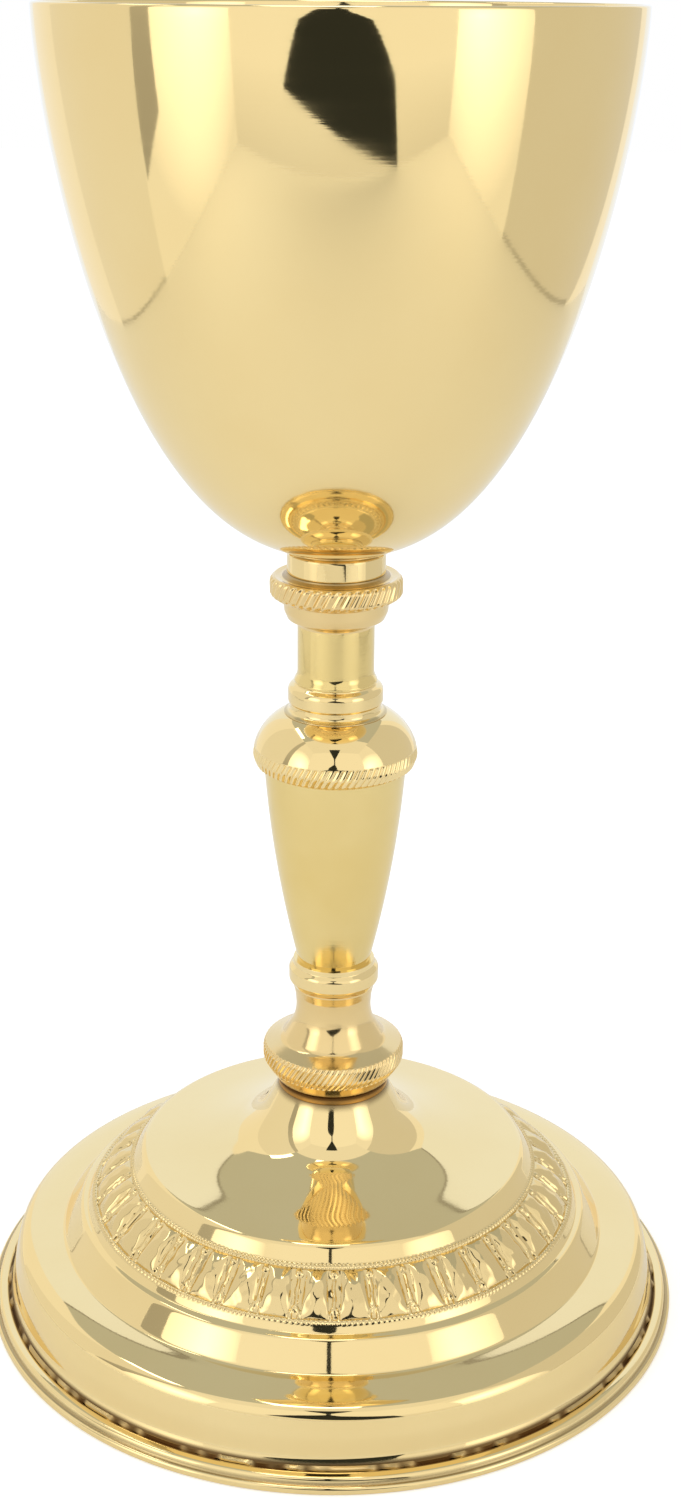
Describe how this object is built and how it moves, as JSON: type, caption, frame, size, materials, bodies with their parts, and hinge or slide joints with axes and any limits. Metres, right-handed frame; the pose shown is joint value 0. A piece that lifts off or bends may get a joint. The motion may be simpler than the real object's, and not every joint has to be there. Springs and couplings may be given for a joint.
{
  "type": "communion chalice",
  "caption": "Gold-finished brass chalice: deep egg-shaped cup on a knopped stem with fluted collars, and a stepped round foot with an egg-and-dart band.",
  "frame": {"origin": "on the chalice's axis, in the plane its foot stands on", "axes": "+Z along the axis, up from the foot to the mouth of the cup; X and Y are equivalent"},
  "size_m": [0.134, 0.134, 0.24],
  "materials": {
    "gold_polish": "mirror polished, gold plated",
    "gold_satin": "finely polished with faint turning lines, gold plated",
    "raw_brass": "as turned",
    "dark_brass": "tarnished in the gap",
    "solder": "soldered, lightly polished",
    "steel": "zinc plated"
  },
  "bodies": {
    "root": {"cup": "gold_polish", "cup_boss": "raw_brass", "cup_flange": "gold_polish", "ferrule": "gold_polish", "upper_collar": "gold_polish", "neck": "gold_satin", "neck_ring": "gold_polish", "knop": "gold_polish", "stem_plug": "raw_brass", "stem_vase": "gold_satin", "stem_ring": "gold_polish", "spool": "gold_polish", "seat_washer": "dark_brass", "foot_shell": "gold_polish", "foot_rim": "gold_polish", "rim_solder": "solder", "clamp_plate": "raw_brass", "spring_washer": "steel", "hex_nut": "steel", "tie_rod": "steel"}
  },
  "joints": []
}
